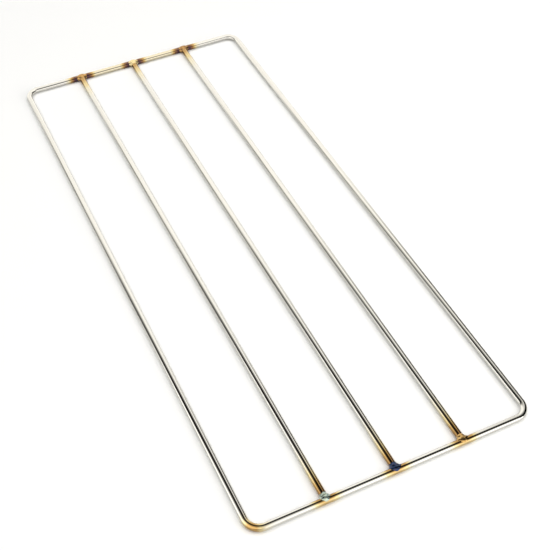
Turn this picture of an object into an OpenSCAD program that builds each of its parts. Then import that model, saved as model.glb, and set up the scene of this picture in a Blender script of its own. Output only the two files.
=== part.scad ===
// Grill grate: a rectangular frame bent from one round rod, with three straight bars of
// the same rod butt welded between its short rails.
// The grate lies flat. The origin is the middle of the frame on the surface that it lies
// on, +Y runs along the bars and +X across them.

/* [Rod] */
// Diameter of the round rod of the frame and the bars
rod_d = 5; // [4:0.1:8]

/* [Frame] */
// Outside width of the frame, across the bars
frame_w = 208; // [140:1:300]
// Outside length of the frame, along the bars
frame_l = 495; // [250:1:700]
// Radius on the inside of each corner bend
bend_r = 7.5; // [3:0.5:20]

/* [Bars] */
// Distance from the middle of one bar to the middle of the next
bar_pitch = 50; // [20:0.5:80]
// Root gap between a bar's cut end and the rail, which the weld fills
root_gap = 0.3; // [0.1:0.1:1]

/* [Weld beads] */
// How far the left, centre and right beads spread past the rod's radius on the near rail
near_leg = [1.6, 2.3, 2.0]; // [1:0.1:4]
// How far the left, centre and right beads spread past the rod's radius on the far rail
far_leg = [2.1, 1.9, 2.3]; // [1:0.1:4]
// How far each bead on the near rail runs past the rail's crest
near_over = 0.6; // [0:0.1:1.5]
// How far each bead on the far rail runs past the rail's crest
far_over = 1.6; // [0:0.1:1.8]
// Height of a bead's crown above the top of the rods
crown = 0.8; // [0.2:0.1:2]
// Height of a bead's lowest point above the surface, as the joint is welded from above
bead_floor = 0.8; // [0.3:0.1:1.5]

/* [Hidden] */

$fn = 64;
rod_r = rod_d / 2;
bend_mid_r = bend_r + rod_r;
side_x = frame_w / 2 - rod_r;
rail_y = frame_l / 2 - rod_r;
bar_end_y = rail_y - rod_r - root_gap;
bead_top = rod_d + crown;
bead_mid_z = (bead_top + bead_floor) / 2;
bead_half_h = (bead_top - bead_floor) / 2;
bead_steps = 16;
steel = "silver";
straw = "peru";

// A straight rod along Y, centred on the origin
module rod_along_y(length) {
  rotate([90, 0, 0]) cylinder(h = length, r = rod_r, center = true);
}

// A straight rod along X, centred on the origin
module rod_along_x(length) {
  rotate([0, 90, 0]) cylinder(h = length, r = rod_r, center = true);
}

// One rounded corner of the frame, in the first quarter, about its bend centre
module corner() {
  rotate_extrude(angle = 90) translate([bend_mid_r, 0]) circle(r = rod_r);
}

// The frame: two long sides, two short rails and four bends of one rod
module frame() {
  straight_x = 2 * (side_x - bend_mid_r);
  straight_y = 2 * (rail_y - bend_mid_r);
  color(steel) translate([0, 0, rod_r]) union() {
    for (s = [-1, 1]) {
      translate([s * side_x, 0, 0]) rod_along_y(straight_y);
      translate([0, s * rail_y, 0]) rod_along_x(straight_x);
    }
    for (k = [0:3]) {
      sx = (k == 0 || k == 3) ? 1 : -1;
      sy = (k < 2) ? 1 : -1;
      translate([sx * (side_x - bend_mid_r), sy * (rail_y - bend_mid_r), 0])
        rotate([0, 0, 90 * k]) corner();
    }
  }
}

// One straight bar, with its place counted in pitches from the middle
module bar(place) {
  color(steel) translate([place * bar_pitch, 0, rod_r]) rod_along_y(2 * bar_end_y);
}

// Half of the bead's upright section: an ellipse from its lowest point to its crown
function bead_section(spread) = [
  for (i = [0:bead_steps])
    let (a = -90 + 180 * i / bead_steps)
    [spread * max(cos(a), 0), bead_half_h * sin(a)]
];

// Distance from the rail's middle back to the bead's middle, so that the bead's surface
// meets the rail's just past the crest
function bead_back(spread, over) =
  let (rail_top = rod_r + sqrt(pow(rod_r, 2) - pow(over, 2)))
  spread * sqrt(1 - pow((rail_top - bead_mid_z) / bead_half_h, 2)) - over;

// One weld bead: a flattened blob over the tee, less the rail and the bar that it joins
module bead(place, end, leg, over) {
  spread = rod_r + leg;
  color(straw) difference() {
    translate([place * bar_pitch, end * (rail_y - bead_back(spread, over)), bead_mid_z])
      rotate_extrude() polygon(bead_section(spread));
    translate([place * bar_pitch, end * rail_y, rod_r]) rod_along_x(4 * spread);
    bar(place);
  }
}

frame();
bar(-1);  // bar_left
bar(0);  // bar_centre
bar(1);  // bar_right
bead(-1, 1, far_leg[0], far_over);  // weld_far_left
bead(0, 1, far_leg[1], far_over);  // weld_far_centre
bead(1, 1, far_leg[2], far_over);  // weld_far_right
bead(-1, -1, near_leg[0], near_over);  // weld_near_left
bead(0, -1, near_leg[1], near_over);  // weld_near_centre
bead(1, -1, near_leg[2], near_over);  // weld_near_right
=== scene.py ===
"""Looks of the grill grate: drawn stainless rods, hand-laid weld beads and their heat tint,
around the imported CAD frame. Metres, +Z up, the same frame as the CAD."""
import math

import bmesh
import bpy
import numpy as np
from mathutils import Matrix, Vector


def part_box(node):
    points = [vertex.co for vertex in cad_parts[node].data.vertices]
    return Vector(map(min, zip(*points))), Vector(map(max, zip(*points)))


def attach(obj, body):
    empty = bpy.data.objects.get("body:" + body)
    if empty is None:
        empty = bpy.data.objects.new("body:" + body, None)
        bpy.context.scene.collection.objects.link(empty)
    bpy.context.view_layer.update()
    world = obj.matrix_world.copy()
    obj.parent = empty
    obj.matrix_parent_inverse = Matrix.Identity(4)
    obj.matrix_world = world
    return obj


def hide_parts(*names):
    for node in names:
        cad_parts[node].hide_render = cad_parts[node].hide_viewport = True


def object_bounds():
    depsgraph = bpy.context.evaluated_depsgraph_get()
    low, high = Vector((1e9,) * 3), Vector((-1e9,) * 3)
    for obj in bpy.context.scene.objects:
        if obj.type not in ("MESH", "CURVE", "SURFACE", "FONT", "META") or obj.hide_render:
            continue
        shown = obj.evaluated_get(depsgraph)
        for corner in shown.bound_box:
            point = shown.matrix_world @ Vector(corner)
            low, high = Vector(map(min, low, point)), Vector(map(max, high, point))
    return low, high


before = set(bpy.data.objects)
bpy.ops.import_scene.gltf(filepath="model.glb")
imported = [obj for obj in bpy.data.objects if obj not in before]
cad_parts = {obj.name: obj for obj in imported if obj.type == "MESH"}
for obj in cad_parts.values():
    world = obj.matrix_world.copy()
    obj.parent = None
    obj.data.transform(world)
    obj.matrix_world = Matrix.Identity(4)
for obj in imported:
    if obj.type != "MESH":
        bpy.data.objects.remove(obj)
cad_low, cad_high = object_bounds()

# Camera
# One lens from the near left, looking down over the grate. Its place and turn were solved from
# the outlines of the five long rods and the two rails.
CAMERA_PLACE = (-0.21513, -0.54208, 0.57017)
CAMERA_AIM = (0.00331, -0.05735, 0.0025)
CAMERA_ROLL_DEG = 1.364
LENS_MM = 67.963
SENSOR_MM = 36.0


def aimed(place, aim, roll=0.0):
    """World matrix of an object at place whose -Z axis points at aim, turned by roll degrees
    about that axis from the pose in which its X axis is level."""
    place = np.array(place, float)
    forward = np.array(aim, float) - place
    forward /= np.linalg.norm(forward)
    right = np.cross(forward, (0.0, 0.0, 1.0))
    right /= np.linalg.norm(right)
    up = np.cross(right, forward)
    c, s = math.cos(math.radians(roll)), math.sin(math.radians(roll))
    x_axis = c * right - s * up
    y_axis = c * up + s * right
    matrix = np.eye(4)
    matrix[:3, 0] = x_axis
    matrix[:3, 1] = y_axis
    matrix[:3, 2] = -forward
    matrix[:3, 3] = place
    return Matrix(matrix.tolist())


camera_data = bpy.data.cameras.new("camera")
camera_data.lens = LENS_MM
camera_data.sensor_width = SENSOR_MM
camera_data.clip_start = 0.01
camera = bpy.data.objects.new("camera", camera_data)
camera.matrix_world = aimed(CAMERA_PLACE, CAMERA_AIM, CAMERA_ROLL_DEG)
bpy.context.scene.collection.objects.link(camera)
bpy.context.scene.camera = camera
bpy.context.scene.view_settings.view_transform = "Standard"


# Materials in general
# Short ways to make a material, a node and a link, used by every section below.
def new_material(name):
    """An empty node material and its output node."""
    material = bpy.data.materials.new(name)
    material.use_nodes = True
    material.node_tree.nodes.clear()
    return material, material.node_tree.nodes.new("ShaderNodeOutputMaterial")


def add(tree, kind, settings=None, **inputs):
    """A node of that kind. settings are its own properties, and inputs its sockets by name,
    where a socket as value is linked and anything else is set."""
    node = tree.nodes.new(kind)
    for key, value in (settings or {}).items():
        setattr(node, key, value)
    for key, value in inputs.items():
        name = int(key[1:]) if key[1:].isdigit() else key.replace("_", " ")
        socket = node.inputs[name]
        if isinstance(value, bpy.types.NodeSocket):
            tree.links.new(value, socket)
        else:
            socket.default_value = value
    return node


def maths(tree, operation, a, b=0.0, clamp=False):
    """The output of one Math node."""
    settings = {"operation": operation, "use_clamp": clamp}
    return add(tree, "ShaderNodeMath", settings, i0=a, i1=b).outputs[0]


# Studio
# A white table inside a low tent of glowing cloth. The roof has a slanting slot over the grate,
# and one side stands open, which draws the dark lines along the rods. Lamps light the table.
FLOOR_HALF = 4.0
FLOOR_SEEN = (1.0, 1.0, 0.995, 1.0)
FLOOR_BOUNCE = (0.42, 0.42, 0.41, 1.0)
ROOM_COLOUR = (0.012, 0.011, 0.009, 1.0)
TENT_HALF = 0.80
TENT_HEIGHT = 0.305
SLOT_TURN_DEG = 39.4
SLOT_FRONT = -0.277
SLOT_BACK = 0.070
SLOT_SOFT = 0.148
OPEN_SIDE_X = 0.335
OPEN_SIDE_Y = 0.379
OPEN_SIDE_SOFT = 0.108
WALL_SOFT = 0.144
SIDE_TURN_Y = 0.479
BACK_START_X = -0.559
LEFT_PATCH_X = -0.217
RIGHT_PATCH_X = -0.008
PATCH_SOFT = 0.216
FRONT_WALL_SOFT = 0.29
BACK_LIGHT = 1.88
BACK_LIGHT_FALL = -0.50
MIDDLE_LIGHT = 0.92
SIDE_LIGHT = 2.4
FRONT_LIGHT = 2.7
SKY_LAMP = 1.62
KEY_LAMP = 3.3
PALE = (1.0, 0.985, 0.945, 1)
WHITE = (1.0, 0.995, 0.98, 1)


def backdrop_seen(tree):
    """1 for the rays that show the white background: camera, glossy and transmission rays."""
    path = add(tree, "ShaderNodeLightPath")
    seen = maths(tree, "MAXIMUM", path.outputs["Is Camera Ray"], path.outputs["Is Glossy Ray"])
    return maths(tree, "MAXIMUM", seen, path.outputs["Is Transmission Ray"])


floor_mesh = bpy.data.meshes.new("floor")
corners = ((-1, -1), (1, -1), (1, 1), (-1, 1))
floor_corners = [(x * FLOOR_HALF, y * FLOOR_HALF, 0) for x, y in corners]
floor_mesh.from_pydata(floor_corners, [], [(0, 1, 2, 3)])
floor = bpy.data.objects.new("floor", floor_mesh)
bpy.context.scene.collection.objects.link(floor)
floor_material, out = new_material("floor")
tree = floor_material.node_tree
white = add(tree, "ShaderNodeMix", {"data_type": "RGBA"})
tree.links.new(backdrop_seen(tree), white.inputs["Factor"])
white.inputs[6].default_value = FLOOR_BOUNCE
white.inputs[7].default_value = FLOOR_SEEN
cloth = add(tree, "ShaderNodeBsdfDiffuse", Color=white.outputs[2])
tree.links.new(cloth.outputs[0], out.inputs["Surface"])
floor_mesh.materials.append(floor_material)

world = bpy.data.worlds.new("studio")
world.use_nodes = True
bpy.context.scene.world = world
tree = world.node_tree
tree.nodes.clear()
shade = add(tree, "ShaderNodeMix", {"data_type": "RGBA"})
tree.links.new(backdrop_seen(tree), shade.inputs["Factor"])
shade.inputs[6].default_value = ROOM_COLOUR
shade.inputs[7].default_value = (1, 1, 1, 1)
background = add(tree, "ShaderNodeBackground", Color=shade.outputs[2], Strength=1.0)
world_out = add(tree, "ShaderNodeOutputWorld")
tree.links.new(background.outputs[0], world_out.inputs["Surface"])


def past(tree, value, edge, soft):
    """A soft step: 0 where value is well below edge, 1 well above, smooth over soft each way."""
    ends = {"From_Min": edge - soft, "From_Max": edge + soft, "To_Min": 0.0, "To_Max": 1.0}
    smooth = {"interpolation_type": "SMOOTHSTEP"}
    return add(tree, "ShaderNodeMapRange", smooth, Value=value, **ends).outputs[0]


def blended(tree, share, low, high):
    """low where share is 0 and high where it is 1."""
    mix = add(tree, "ShaderNodeMix", {"data_type": "FLOAT"}, i0=share, i2=low, i3=high)
    return mix.outputs[0]


def glowing_sheet(name, corners, colour, in_gloss, in_diffuse):
    """A flat sheet between four corners that the camera looks through. Returns its node tree,
    its position's x and y, and the socket of its strength, which the caller sets or links."""
    mesh = bpy.data.meshes.new(name)
    mesh.from_pydata(corners, [], [(0, 1, 2, 3)])
    sheet = bpy.data.objects.new(name, mesh)
    sheet.visible_camera = False
    sheet.visible_shadow = False
    sheet.visible_glossy = in_gloss
    sheet.visible_diffuse = in_diffuse
    bpy.context.scene.collection.objects.link(sheet)
    material, out = new_material(name)
    tree = material.node_tree
    place = add(tree, "ShaderNodeTexCoord")
    xyz = add(tree, "ShaderNodeSeparateXYZ", Vector=place.outputs["Object"])
    glow = add(tree, "ShaderNodeEmission", Color=colour)
    tree.links.new(glow.outputs[0], out.inputs["Surface"])
    mesh.materials.append(material)
    return tree, xyz.outputs[0], xyz.outputs[1], glow.inputs["Strength"]


t, h = TENT_HALF, TENT_HEIGHT
corners = [(-t, -t, h), (-t, t, h), (t, t, h), (t, -t, h)]
tree, x, y, strength = glowing_sheet("roof", corners, PALE, True, False)
turn = math.radians(SLOT_TURN_DEG)
across_x = maths(tree, "MULTIPLY", x, math.sin(turn))
across_y = maths(tree, "MULTIPLY", y, math.cos(turn))
across = maths(tree, "ADD", across_x, across_y)
opening = maths(
    tree,
    "MULTIPLY",
    past(tree, x, OPEN_SIDE_X, OPEN_SIDE_SOFT),
    maths(tree, "SUBTRACT", 1.0, past(tree, y, OPEN_SIDE_Y, OPEN_SIDE_SOFT)),
)
back = maths(tree, "ADD", maths(tree, "MULTIPLY", y, BACK_LIGHT_FALL), BACK_LIGHT)
back = maths(tree, "MULTIPLY", back, past(tree, across, SLOT_BACK, SLOT_SOFT))
back = maths(tree, "MULTIPLY", back, maths(tree, "SUBTRACT", 1.0, opening))
front = blended(tree, past(tree, x, LEFT_PATCH_X, PATCH_SOFT), FRONT_LIGHT, MIDDLE_LIGHT)
front = blended(tree, past(tree, x, RIGHT_PATCH_X, PATCH_SOFT), front, FRONT_LIGHT)
before_slot = maths(tree, "SUBTRACT", 1.0, past(tree, across, SLOT_FRONT, SLOT_SOFT))
front = maths(tree, "MULTIPLY", front, before_slot)
tree.links.new(maths(tree, "ADD", back, front), strength)

corners = [(-t, -t, 0), (-t, t, 0), (-t, t, h), (-t, -t, h)]
tree, x, y, strength = glowing_sheet("left_wall", corners, WHITE, True, False)
tree.links.new(blended(tree, past(tree, y, SIDE_TURN_Y, WALL_SOFT), SIDE_LIGHT, 0.0), strength)
corners = [(t, -t, 0), (t, -t, h), (t, t, h), (t, t, 0)]
tree, x, y, strength = glowing_sheet("right_wall", corners, PALE, True, False)
tree.links.new(blended(tree, past(tree, y, SIDE_TURN_Y, WALL_SOFT), 0.0, BACK_LIGHT), strength)
corners = [(-t, t, 0), (t, t, 0), (t, t, h), (-t, t, h)]
tree, x, y, strength = glowing_sheet("back_wall", corners, PALE, True, False)
tree.links.new(blended(tree, past(tree, x, BACK_START_X, WALL_SOFT), 0.0, BACK_LIGHT), strength)
corners = [(-t, -t, 0), (-t, -t, h), (t, -t, h), (t, -t, 0)]
tree, x, y, strength = glowing_sheet("front_wall", corners, WHITE, True, False)
right_part = past(tree, x, RIGHT_PATCH_X, FRONT_WALL_SOFT)
tree.links.new(blended(tree, right_part, MIDDLE_LIGHT, FRONT_LIGHT), strength)

corners = [(-2, -2, 2), (-2, 2, 2), (2, 2, 2), (2, -2, 2)]
tree, x, y, strength = glowing_sheet("sky_lamp", corners, WHITE, False, True)
strength.default_value = SKY_LAMP
corners = [(0.35, -1.25, 0.25), (1.25, -0.35, 0.25), (1.25, -0.35, 0.85), (0.35, -1.25, 0.85)]
tree, x, y, strength = glowing_sheet("key_lamp", corners, WHITE, False, True)
strength.default_value = KEY_LAMP


# Heat tint, shared by the rods and the beads
# Steel that was hot in air carries an oxide film. Its colour runs with its thickness from
# clear through straw, gold, brown and violet to blue and a pale silver green.
def heat_tint_group():
    """Node group: Thickness 0..1 gives the film's colour, to multiply the steel's by."""
    group = bpy.data.node_groups.new("heat_tint", "ShaderNodeTree")
    group.interface.new_socket("Thickness", in_out="INPUT", socket_type="NodeSocketFloat")
    group.interface.new_socket("Color", in_out="OUTPUT", socket_type="NodeSocketColor")
    start = group.nodes.new("NodeGroupInput")
    end = group.nodes.new("NodeGroupOutput")
    ramp = group.nodes.new("ShaderNodeValToRGB")
    ramp.color_ramp.interpolation = "EASE"
    stops = (
        (0.00, (1.00, 1.00, 1.00, 1)),
        (0.16, (1.00, 0.94, 0.78, 1)),
        (0.32, (0.96, 0.80, 0.46, 1)),
        (0.46, (0.66, 0.42, 0.16, 1)),
        (0.58, (0.34, 0.18, 0.09, 1)),
        (0.70, (0.14, 0.07, 0.09, 1)),
        (0.80, (0.03, 0.06, 0.16, 1)),
        (0.90, (0.20, 0.33, 0.40, 1)),
        (1.00, (0.62, 0.72, 0.62, 1)),
    )
    elements = ramp.color_ramp.elements
    while len(elements) < len(stops):
        elements.new(0.5)
    for element, (place, colour) in zip(elements, stops):
        element.position = place
        element.color = colour
    group.links.new(start.outputs[0], ramp.inputs[0])
    group.links.new(ramp.outputs[0], end.inputs[0])
    return group


heat_tint = heat_tint_group()


# Rods in general
# All rods are one stock: bright drawn stainless round rod. It is hard, nearly mirror smooth,
# and carries fine die lines along its length.
STEEL_COLOUR = (0.575, 0.562, 0.522, 1.0)
STEEL_ROUGHNESS = 0.09
RING_POINTS = 48
RING_STEP = 0.00075
frame_low, frame_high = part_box("frame")
ROD_R = (frame_high.z - frame_low.z) / 2 * 0.999
SIDE_X = frame_high.x - (frame_high.z - frame_low.z) / 2
RAIL_Y = frame_high.y - (frame_high.z - frame_low.z) / 2
BAR_X = [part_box(n)[0].x * 0.5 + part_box(n)[1].x * 0.5 for n in ("bar_left", "bar_centre", "bar_right")]
BAR_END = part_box("bar_centre")[1].y
JOINTS = [(x, side) for side in (-1, 1) for x in BAR_X]


def tube(name, centres, sideways, radii, run, closed):
    """A round tube along the points centres. Ring i is centres[i] + radii[i] * (cos a * sideways[i]
    + sin a * up), for a evenly spaced from the underside. run is the length along the path, and
    the UV map wrap holds it and the length around the rod, both in metres."""
    n, m = len(centres), RING_POINTS
    a = np.arange(m) / m * 2 * math.pi - math.pi / 2
    up = np.array((0.0, 0.0, 1.0))
    ring = np.cos(a)[None, :, None] * sideways[:, None, :] + np.sin(a)[None, :, None] * up
    points = centres[:, None, :] + radii[:, None, None] * ring
    rows = np.arange(n if closed else n - 1)
    i, j = np.meshgrid(rows, np.arange(m), indexing="ij")
    i2, j2 = (i + 1) % n, (j + 1) % m
    quads = np.stack([i * m + j, i2 * m + j, i2 * m + j2, i * m + j2], -1).reshape(-1, 4)
    mesh = bpy.data.meshes.new(name)
    faces = quads.tolist()
    if not closed:
        faces += [list(range(m)), list(range((n - 1) * m, n * m))[::-1]]
    mesh.from_pydata(points.reshape(-1, 3).tolist(), [], faces)
    mesh.validate()
    step = run[1] - run[0]
    around = 2 * math.pi * radii.mean() / m
    u = np.stack([run[i], run[i] + step, run[i] + step, run[i]], -1)
    v = np.stack([j, j, j + 1, j + 1], -1) * around
    uv = np.zeros((len(mesh.loops), 2), np.float32)
    uv[: u.size, 0] = u.ravel()
    uv[: u.size, 1] = v.ravel()
    mesh.uv_layers.new(name="wrap")
    mesh.uv_layers[0].data.foreach_set("uv", uv.ravel())
    mesh.polygons.foreach_set("use_smooth", np.ones(len(mesh.polygons), bool))
    obj = bpy.data.objects.new(name, mesh)
    bpy.context.scene.collection.objects.link(obj)
    return obj, points.reshape(-1, 3)


def store(obj, name, values):
    """Keeps one number for each point of the mesh under that name."""
    attribute = obj.data.attributes.new(name, "FLOAT", "POINT")
    attribute.data.foreach_set("value", np.asarray(values, np.float32))


def rod_material():
    """Drawn steel. Die lines are noise drawn out along the rod, wear is broad noise in the
    roughness and colour, and the points' stored value picks the oxide film's colour. That value is
    real oxide at the welds and painted shade on the frame's near left bend."""
    material, out = new_material("drawn_steel")
    tree = material.node_tree
    uv = add(tree, "ShaderNodeUVMap", {"uv_map": "wrap"})
    times = {"operation": "MULTIPLY"}
    lines_at = add(tree, "ShaderNodeVectorMath", times, i0=uv.outputs[0], i1=(40.0, 9000.0, 1.0))
    lines = add(
        tree, "ShaderNodeTexNoise", Vector=lines_at.outputs[0], Scale=1.0, Detail=4.0, Roughness=0.6
    )
    patches_at = add(tree, "ShaderNodeVectorMath", times, i0=uv.outputs[0], i1=(120.0, 260.0, 1.0))
    patches = add(
        tree, "ShaderNodeTexNoise", Vector=patches_at.outputs[0], Scale=1.0, Detail=5.0, Roughness=0.55
    )
    oxide_and_shade_value = add(tree, "ShaderNodeAttribute", {"attribute_name": "oxide_and_shade"})
    wander = maths(tree, "MULTIPLY", maths(tree, "SUBTRACT", patches.outputs["Fac"], 0.5), 0.30)
    streak = maths(tree, "MULTIPLY", maths(tree, "SUBTRACT", lines.outputs["Fac"], 0.5), 0.12)
    spread = maths(tree, "ADD", maths(tree, "ADD", wander, streak), 1.0)
    film = add(tree, "ShaderNodeGroup", {"node_tree": heat_tint})
    tree.links.new(maths(tree, "MULTIPLY", oxide_and_shade_value.outputs["Fac"], spread, True), film.inputs[0])
    colour = add(tree, "ShaderNodeMix", {"data_type": "RGBA", "blend_type": "MULTIPLY"})
    colour.inputs["Factor"].default_value = 1.0
    colour.inputs[6].default_value = STEEL_COLOUR
    tree.links.new(film.outputs[0], colour.inputs[7])
    rough = maths(
        tree,
        "ADD",
        STEEL_ROUGHNESS,
        maths(tree, "MULTIPLY", maths(tree, "SUBTRACT", patches.outputs["Fac"], 0.5), 0.10),
    )
    bump = add(tree, "ShaderNodeBump", Strength=0.25, Distance=0.00002, Height=lines.outputs["Fac"])
    steel = add(
        tree,
        "ShaderNodeBsdfPrincipled",
        Base_Color=colour.outputs[2],
        Metallic=1.0,
        Roughness=rough,
        Normal=bump.outputs[0],
    )
    tree.links.new(steel.outputs[0], out.inputs["Surface"])
    return material


drawn_steel = rod_material()


# Frame
# One rod bent to a rounded rectangle. Its ends meet in the left long side, where they are butt
# welded and ground flush. The short rails carry the heat tint of the six joints, and the near left
# bend carries a painted shade in the same brown.
BEND_MID_R = 0.010
BUTT_Y = -0.120
TINT_REACH = {-1: 0.0098, 1: 0.0125}
TINT_DEPTH = {-1: 0.50, 1: 0.62}


def frame_path():
    """The rounded rectangle's centre line, evenly spaced from the butt weld on: straight runs
    and quarter circles joined in one line, then read off at equal steps of its length."""
    corner = np.linspace(0, math.pi / 2, 61)
    pieces = [np.array([[-SIDE_X, BUTT_Y]])]
    for k, (sx, sy) in enumerate(((-1, -1), (1, -1), (1, 1), (-1, 1))):
        angle = math.pi + k * math.pi / 2 + corner
        centre = np.array((sx * (SIDE_X - BEND_MID_R), sy * (RAIL_Y - BEND_MID_R)))
        pieces.append(centre + BEND_MID_R * np.stack([np.cos(angle), np.sin(angle)], -1))
    pieces.append(np.array([[-SIDE_X, BUTT_Y]]))
    line = np.concatenate(pieces)
    length = np.concatenate([[0], np.cumsum(np.linalg.norm(np.diff(line, axis=0), axis=1))])
    count = int(round(length[-1] / RING_STEP))
    run = np.arange(count) * (length[-1] / count)
    x = np.interp(run, length, line[:, 0])
    y = np.interp(run, length, line[:, 1])
    after = (run + 1e-5) % length[-1]
    before = (run - 1e-5) % length[-1]
    ahead = np.interp(after, length, line[:, 0]) - np.interp(before, length, line[:, 0])
    aside = np.interp(after, length, line[:, 1]) - np.interp(before, length, line[:, 1])
    size = np.hypot(ahead, aside)
    tangent = np.stack([ahead / size, aside / size, 0 * run], -1)
    return np.stack([x, y, 0 * run + ROD_R], -1), tangent, run


centres, tangent, run = frame_path()
sideways = np.stack([tangent[:, 1], -tangent[:, 0], 0 * run], -1)
radii = np.full(len(run), ROD_R)
loop, points = tube("frame_rod", centres, sideways, radii, run, closed=True)
rail_oxide_and_shade = np.zeros(len(points))
for x, side in JOINTS:
    away = np.hypot(points[:, 0] - x, points[:, 1] - side * RAIL_Y)
    inward = (side * RAIL_Y - points[:, 1]) * side / ROD_R
    depth = TINT_DEPTH[side] * (1 + 0.22 * inward)
    rail_oxide_and_shade = np.maximum(rail_oxide_and_shade, depth * np.exp(-((away / TINT_REACH[side]) ** 4)))
between = np.clip((BAR_X[2] + 0.012 - np.abs(points[:, 0])) / 0.012, 0, 1)
rail_oxide_and_shade = np.maximum(rail_oxide_and_shade, np.where(points[:, 1] > 0, 0.20 * between, 0.0))
# Painted shade: the near left bend is darkened to a brown oxide colour over about 9 mm. No weld is near
# it.
shade_spot_distance = np.hypot(points[:, 0] + SIDE_X - 0.001, points[:, 1] + RAIL_Y - 0.001)
rail_oxide_and_shade = np.maximum(rail_oxide_and_shade, 0.50 * np.exp(-((shade_spot_distance / 0.009) ** 2)))
store(loop, "oxide_and_shade", rail_oxide_and_shade)
loop.data.materials.append(drawn_steel)
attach(loop, "root")
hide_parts("frame")

# Bars
# Three straight lengths of the same rod between the short rails, cut square and held by the
# weld beads only. Their ends are browned by the welding.
NEAR_TINT_DEPTH = 0.56
NEAR_TINT_REACH = 0.026
FAR_TINT_DEPTH = 0.50
FAR_TINT_REACH = 0.022
for name, x in zip(("bar_left", "bar_centre", "bar_right"), BAR_X):
    run = np.linspace(-BAR_END, BAR_END, int(2 * BAR_END / RING_STEP))
    centres = np.stack([0 * run + x, run, 0 * run + ROD_R], -1)
    sideways = np.stack([0 * run + 1, 0 * run, 0 * run], -1)
    bar, points = tube(name + "_rod", centres, sideways, np.full(len(run), ROD_R), run, closed=False)
    near_end = RAIL_Y + points[:, 1]
    far_end = RAIL_Y - points[:, 1]
    near_tint = NEAR_TINT_DEPTH * np.exp(-((near_end / NEAR_TINT_REACH) ** 2))
    far_tint = FAR_TINT_DEPTH * np.exp(-((far_end / FAR_TINT_REACH) ** 2))
    store(bar, "oxide_and_shade", np.maximum(near_tint, far_tint))
    bar.data.materials.append(drawn_steel)
    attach(bar, "root")
    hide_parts(name)

# Weld beads
# Six beads laid from above with filler over the tee of bar and rail. They flow into both rods
# in a fillet, carry the ripples of the pool, and each kept its own oxide colour.
BEAD_COLOUR = (0.70, 0.68, 0.63, 1)
BEAD_ROUGHNESS = 0.22


def bead(name, x, side, middle, toes, fillet, proud, ripple, seed):
    """One bead. Rays from the joint's middle, in the directions of a fine icosphere, stop where
    smooth_min(distance to rail, distance to bar) + proud * (q**4 - 1) = 0, with q the distance
    from the bead's middle over its toe lengths (along the rail, along the bar, upright).
    Concentric waves of the height ripple are added along the rays, and the bead is kept inside
    the CAD box, which flattens it where it meets the table."""
    random = np.random.default_rng(seed)
    ball = bmesh.new()
    bmesh.ops.create_icosphere(ball, subdivisions=6, radius=1.0)
    mesh = bpy.data.meshes.new(name)
    ball.to_mesh(mesh)
    ball.free()
    d = np.zeros(len(mesh.vertices) * 3)
    mesh.vertices.foreach_get("co", d)
    d = d.reshape(-1, 3)
    d /= np.linalg.norm(d, axis=1, keepdims=True)
    start = np.array((0.0, middle[1] * 0.5, 0.0))
    phases = random.uniform(0, 2 * math.pi, 6)

    def solid(p):
        """Negative inside the bead."""
        rail = np.hypot(p[:, 1], p[:, 2]) - ROD_R
        bar = np.sqrt(p[:, 0] ** 2 + p[:, 2] ** 2 + np.minimum(p[:, 1], 0) ** 2) - ROD_R
        h = np.maximum(fillet - np.abs(rail - bar), 0) / fillet
        both = np.minimum(rail, bar) - h * h * fillet / 4
        q2 = ((p - np.array(middle)) / np.array(toes)) ** 2
        lump = 0.00007 * (
            np.sin(p[:, 0] * 1900 + phases[0]) * np.sin(p[:, 1] * 1500 + phases[1])
            + np.sin(p[:, 1] * 2300 + phases[2]) * np.sin(p[:, 2] * 1700 + phases[3])
        )
        return both + proud * (q2.sum(axis=1) ** 2 - 1) + lump

    low = np.zeros(len(d))
    high = np.full(len(d), 0.009)
    for _ in range(40):
        mid = (low + high) / 2
        inside = solid(start + d * mid[:, None]) < 0
        low = np.where(inside, mid, low)
        high = np.where(inside, high, mid)
    p = start + d * low[:, None]
    wave = np.sqrt((p[:, 0] - 0.001) ** 2 + (p[:, 1] + 0.002) ** 2)
    p += d * (ripple * np.sin(wave * 2 * math.pi / 0.00075))[:, None]
    world_p = np.stack([x + p[:, 0] * -side, side * (RAIL_Y - p[:, 1]), ROD_R + p[:, 2]], -1)
    world_p = np.clip(world_p, np.array(cad_low), np.array(cad_high))
    mesh.vertices.foreach_set("co", world_p.ravel())
    mesh.polygons.foreach_set("use_smooth", np.ones(len(mesh.polygons), bool))
    mesh.update()
    obj = bpy.data.objects.new(name, mesh)
    bpy.context.scene.collection.objects.link(obj)
    return obj, p


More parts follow.
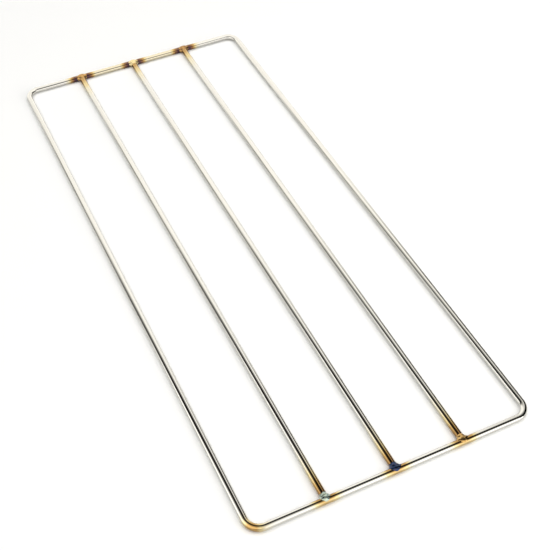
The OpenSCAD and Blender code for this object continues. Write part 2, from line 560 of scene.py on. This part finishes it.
def bead_material():
    """Weld metal: the points' film value picks the oxide's colour, and noise breaks it up."""
    material, out = new_material("weld_metal")
    tree = material.node_tree
    place = add(tree, "ShaderNodeTexCoord")
    clouds = add(tree, "ShaderNodeTexNoise", Vector=place.outputs["Object"], Scale=900.0, Detail=4.0)
    film_at = add(tree, "ShaderNodeAttribute", {"attribute_name": "film"})
    spread = maths(tree, "MULTIPLY", maths(tree, "SUBTRACT", clouds.outputs["Fac"], 0.5), 0.35)
    film = add(tree, "ShaderNodeGroup", {"node_tree": heat_tint})
    tree.links.new(maths(tree, "ADD", film_at.outputs["Fac"], spread, True), film.inputs[0])
    colour = add(tree, "ShaderNodeMix", {"data_type": "RGBA", "blend_type": "MULTIPLY"})
    colour.inputs["Factor"].default_value = 1.0
    colour.inputs[6].default_value = BEAD_COLOUR
    tree.links.new(film.outputs[0], colour.inputs[7])
    bump = add(tree, "ShaderNodeBump", Strength=0.3, Distance=0.0001, Height=clouds.outputs["Fac"])
    metal = add(
        tree,
        "ShaderNodeBsdfPrincipled",
        Base_Color=colour.outputs[2],
        Metallic=1.0,
        Roughness=BEAD_ROUGHNESS,
        Normal=bump.outputs[0],
    )
    tree.links.new(metal.outputs[0], out.inputs["Surface"])
    return material


weld_metal = bead_material()
BEADS = (
    ("weld_near_left", 0, -1, 0.0036, 0.97),
    ("weld_near_centre", 1, -1, 0.0045, 0.79),
    ("weld_near_right", 2, -1, 0.0043, 0.46),
    ("weld_far_left", 0, 1, 0.0050, 0.50),
    ("weld_far_centre", 1, 1, 0.0044, 0.34),
    ("weld_far_right", 2, 1, 0.0050, 0.53),
)
for seed, (name, place, side, wide, film) in enumerate(BEADS):
    middle = (0.0, 0.0022, 0.0010) if side < 0 else (0.0, 0.0012, 0.0012)
    toes = (wide, 0.0031, 0.0032)
    weld, p = bead(name + "_bead", BAR_X[place], side, middle, toes, 0.0026, 0.0003, 0.00003, seed)
    store(weld, "film", np.full(len(p), film))
    weld.data.materials.append(weld_metal)
    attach(weld, "root")
    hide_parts(name)
